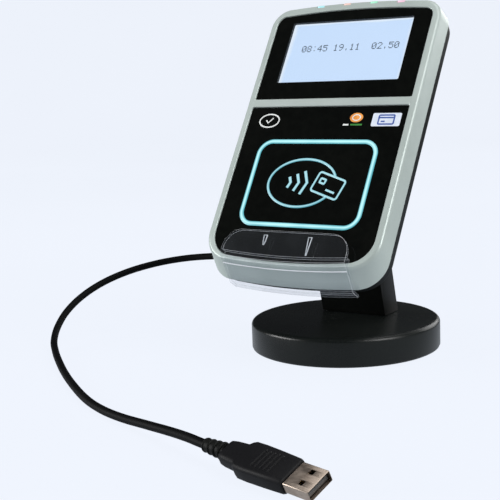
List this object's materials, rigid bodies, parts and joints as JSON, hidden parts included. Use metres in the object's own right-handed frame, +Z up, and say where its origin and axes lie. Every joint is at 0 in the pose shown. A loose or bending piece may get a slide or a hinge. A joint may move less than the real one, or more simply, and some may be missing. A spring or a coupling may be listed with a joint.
{
  "type": "ticket validator",
  "caption": "Desk-stand contactless ticket validator: flat reader with a graphic display and lit tap target on a tilting neck and round weighted base, clear card holder, USB lead.",
  "frame": {"origin": "centre of the underside of the stand's rubber foot pad, on the desk", "axes": "+Z up; the reader's face looks towards -Y and leans back; +X is to the right when looking at the face; the lead leaves towards -X"},
  "size_m": [0.2521, 0.2546, 0.1799],
  "materials": {
    "silver_plastic": "satin silver-grey paint on plastic",
    "black_satin": "fine-grained satin black",
    "base_black": "satin black",
    "panel_black": "high gloss black acrylic",
    "clear_plastic": "clear moulded plastic",
    "screen_lens": "clear window",
    "screen_lit": "backlit graphic screen",
    "light_line": "lit translucent line",
    "status_cyan": "lit lens",
    "status_amber": "lit lens",
    "status_green": "lit lens",
    "status_red": "lit lens",
    "steel": "plain steel",
    "screw_black": "black oxide",
    "circuit_board": "green solder mask",
    "chip_black": "moulded black",
    "ferrite": "dull grey",
    "rubber": "matt rubber",
    "cord_black": "satin black jacket",
    "plug_metal": "nickel plate",
    "tongue_white": "moulded white"
  },
  "bodies": {
    "stand": {"base_cover": "base_black", "base_plate": "steel", "base_weight": "steel", "foot_pad": "rubber", "base_screw_1": "screw_black", "base_screw_2": "screw_black", "base_screw_3": "screw_black", "neck": "base_black", "neck_screw_left": "screw_black", "neck_screw_right": "screw_black", "hinge_tube": "steel", "friction_washer_left": "steel", "friction_washer_right": "steel", "hinge_cap_left": "black_satin", "hinge_cap_right": "black_satin", "cord_gland": "cord_black", "cord": "cord_black", "plug_relief": "cord_black", "plug_body": "cord_black", "plug_shell": "plug_metal", "plug_tongue": "tongue_white"},
    "reader": {"front_shell": "silver_plastic", "rear_shell": "black_satin", "service_cover": "black_satin", "service_screw": "screw_black", "case_screw_1": "screw_black", "case_screw_2": "screw_black", "case_screw_3": "screw_black", "case_screw_4": "screw_black", "display_panel": "panel_black", "screen_lens": "screen_lens", "tap_panel": "panel_black", "light_ring": "light_line", "light_oval": "light_line", "status_lens_1": "status_cyan", "status_lens_2": "status_amber", "status_lens_3": "status_green", "status_lens_4": "status_red", "screen_frame": "steel", "screen_glass": "screen_lit", "backlight": "tongue_white", "screen_board": "circuit_board", "light_guide": "clear_plastic", "antenna_board": "circuit_board", "ferrite_sheet": "ferrite", "main_board": "circuit_board", "processor": "chip_black", "lead_connector": "tongue_white", "module_socket_1": "chip_black", "module_socket_2": "chip_black", "buzzer": "chip_black", "hinge_bracket": "black_satin", "bracket_screw_1": "screw_black", "bracket_screw_2": "screw_black", "bracket_screw_3": "screw_black", "bracket_screw_4": "screw_black"},
    "holder": {"card_holder": "clear_plastic"}
  },
  "joints": [
    {"name": "reader_tilt", "type": "hinge", "parent": "stand", "child": "reader", "pos_m": [0, -0.0006, 0.081], "axis": [1, 0, 0], "range_deg": [-20, 10]},
    {"name": "card_holder_slide", "type": "slide", "parent": "reader", "child": "holder", "axis": [0, -0.5344, -0.8453], "range_m": [0, 0.026]}
  ]
}
